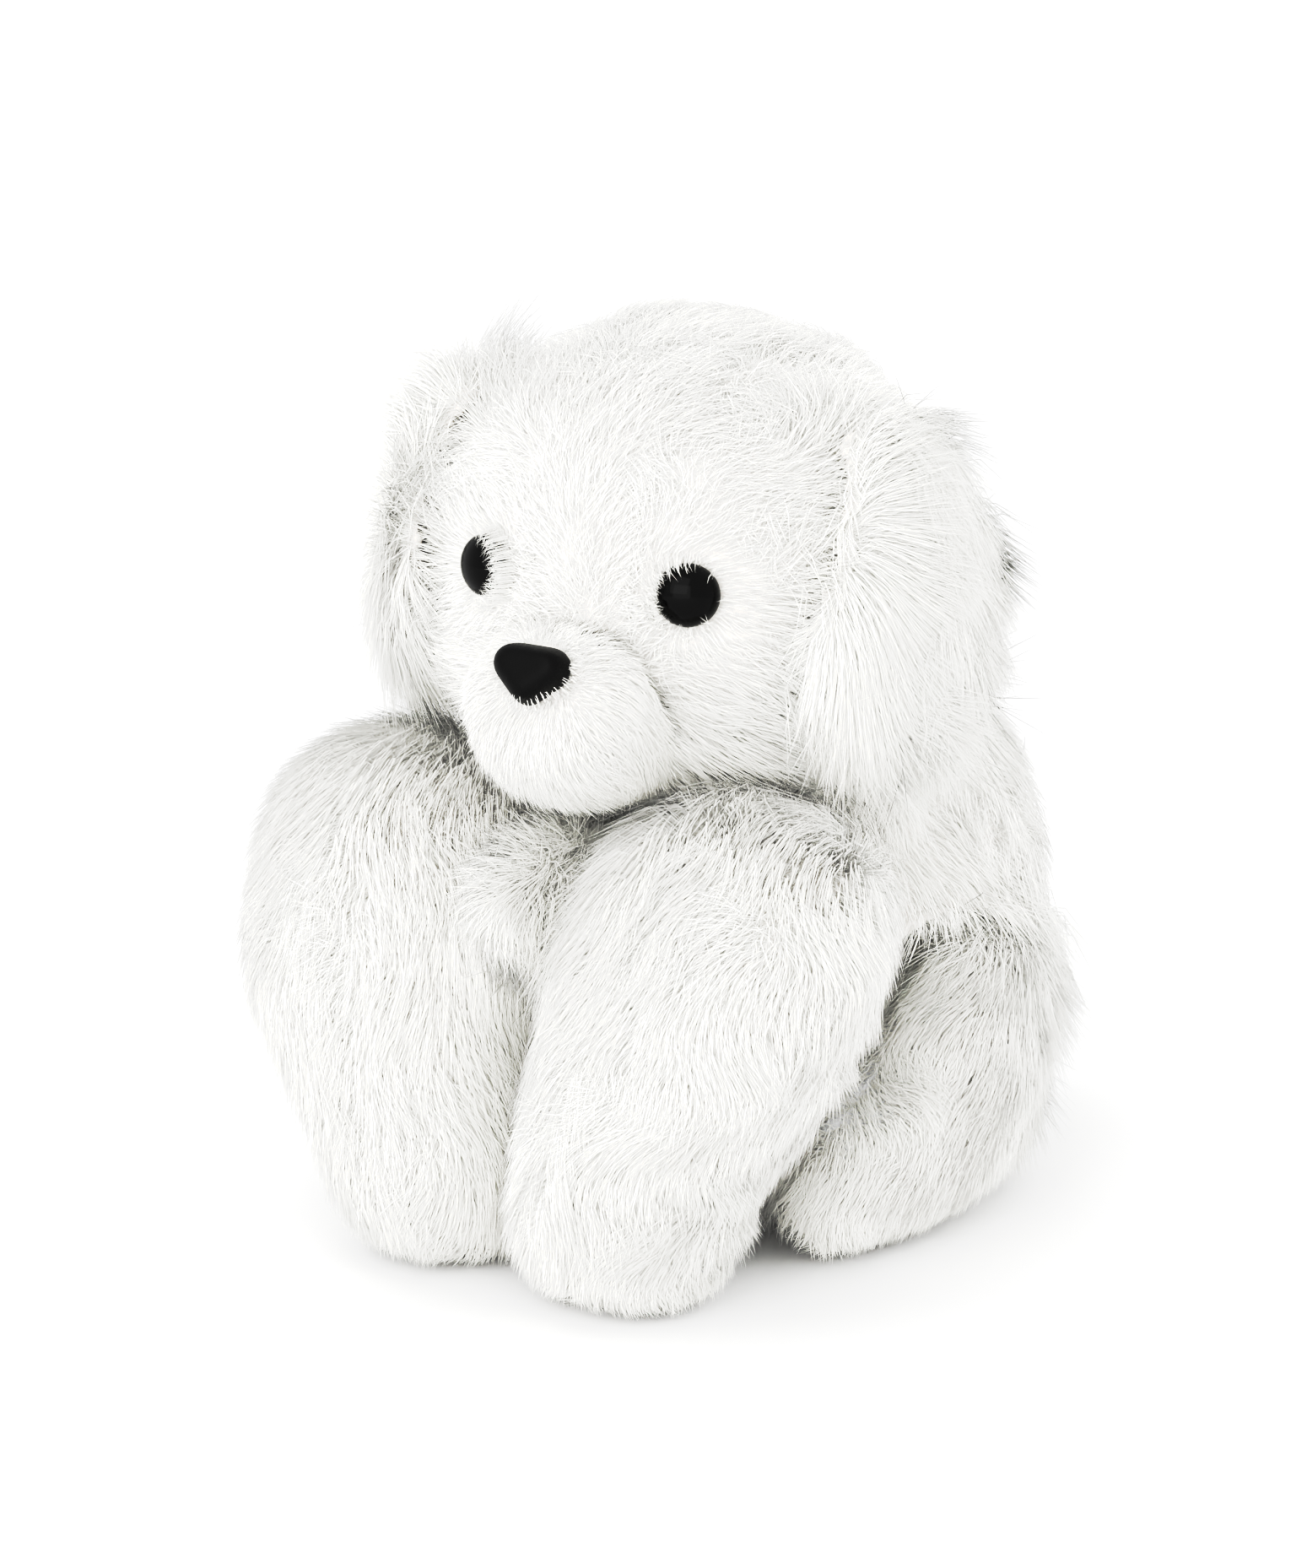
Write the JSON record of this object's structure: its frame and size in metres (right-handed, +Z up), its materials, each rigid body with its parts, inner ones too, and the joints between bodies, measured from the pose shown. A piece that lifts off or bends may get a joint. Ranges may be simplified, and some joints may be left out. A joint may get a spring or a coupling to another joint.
{
  "type": "plush dog",
  "caption": "Sitting stuffed toy dog with a long white pile, floppy ears, round black eyes and a black nose.",
  "frame": {"origin": "on the floor plane under the middle of the toy's bounding box", "axes": "+Z up; the dog's chest and paws face -Y; +X is the dog's left side"},
  "size_m": [0.1652, 0.204, 0.2112],
  "materials": {
    "long_pile": "long white pile, soft and a little tousled",
    "face_pile": "white pile, brushed flat on the face",
    "short_pile": "short dense white pile",
    "ear_lining": "short white pile",
    "stuffing": "polyester fibre filling",
    "pouch_cloth": "plain woven cotton",
    "pellets": "small translucent plastic pellets, packed",
    "thread": "waxed white thread",
    "eye_plastic": "polished black",
    "nose_plastic": "satin black with a fine grain",
    "washer_plastic": "natural white"
  },
  "bodies": {
    "torso": {"back_panel_left": "long_pile", "back_panel_right": "long_pile", "belly_panel": "long_pile", "chest_gusset": "long_pile", "body_stuffing": "stuffing", "pellet_pouch": "pouch_cloth", "pellet_fill": "pellets", "closing_stitches": "thread"},
    "neck": {"neck_stuffing": "stuffing"},
    "head": {"head_panel_left": "face_pile", "head_panel_right": "face_pile", "forehead_gusset": "face_pile", "head_stuffing": "stuffing", "muzzle_cover": "short_pile", "muzzle_stuffing": "stuffing", "nose": "nose_plastic", "nose_washer": "washer_plastic", "eye_left": "eye_plastic", "eye_right": "eye_plastic", "eye_washer_left": "washer_plastic", "eye_washer_right": "washer_plastic"},
    "ear_left": {"ear_left_outer": "long_pile", "ear_left_lining": "ear_lining"},
    "ear_right": {"ear_right_outer": "long_pile", "ear_right_lining": "ear_lining"},
    "front_leg_left": {"front_leg_left_outer": "long_pile", "front_leg_left_inner": "long_pile", "front_leg_left_stuffing": "stuffing"},
    "front_leg_right": {"front_leg_right_outer": "long_pile", "front_leg_right_inner": "long_pile", "front_leg_right_stuffing": "stuffing"},
    "hind_leg_left": {"hind_leg_left_outer": "long_pile", "hind_leg_left_inner": "long_pile", "hind_leg_left_stuffing": "stuffing"},
    "hind_leg_right": {"hind_leg_right_outer": "long_pile", "hind_leg_right_inner": "long_pile", "hind_leg_right_stuffing": "stuffing"},
    "tail": {"tail_cover": "long_pile", "tail_stuffing": "stuffing"}
  },
  "joints": [
    {"name": "head_turn", "type": "hinge", "parent": "torso", "child": "neck", "pos_m": [0, -0.002, 0.104], "axis": [0, -0.3584, 0.9336], "range_deg": [-26, 5]},
    {"name": "head_nod", "type": "hinge", "parent": "neck", "child": "head", "pos_m": [0, -0.002, 0.104], "axis": [0.9845, 0.1736, -0.0262], "range_deg": [-6, 3]},
    {"name": "ear_left_lift", "type": "hinge", "parent": "head", "child": "ear_left", "pos_m": [0.04787, -0.0291, 0.19642], "axis": [0.1736, -0.9848, 0], "range_deg": [0, 60]},
    {"name": "ear_right_lift", "type": "hinge", "parent": "head", "child": "ear_right", "pos_m": [-0.03089, -0.04299, 0.19851], "axis": [-0.1736, 0.9848, 0], "range_deg": [0, 60]},
    {"name": "front_leg_left_swing", "type": "hinge", "parent": "torso", "child": "front_leg_left", "pos_m": [0.046, -0.056, 0.088], "axis": [-1, 0, 0], "range_deg": [-4, 18]},
    {"name": "front_leg_right_swing", "type": "hinge", "parent": "torso", "child": "front_leg_right", "pos_m": [-0.046, -0.056, 0.088], "axis": [-1, 0, 0], "range_deg": [-4, 18]},
    {"name": "hind_leg_left_swing", "type": "hinge", "parent": "torso", "child": "hind_leg_left", "pos_m": [0.048, 0.0145, 0.036], "axis": [-1, 0, 0], "range_deg": [-3, 15]},
    {"name": "hind_leg_right_swing", "type": "hinge", "parent": "torso", "child": "hind_leg_right", "pos_m": [-0.048, 0.0145, 0.036], "axis": [-1, 0, 0], "range_deg": [-3, 15]},
    {"name": "tail_wag", "type": "hinge", "parent": "torso", "child": "tail", "pos_m": [0, 0.09, 0.026], "axis": [0, 1, 0], "range_deg": [-25, 25]}
  ]
}
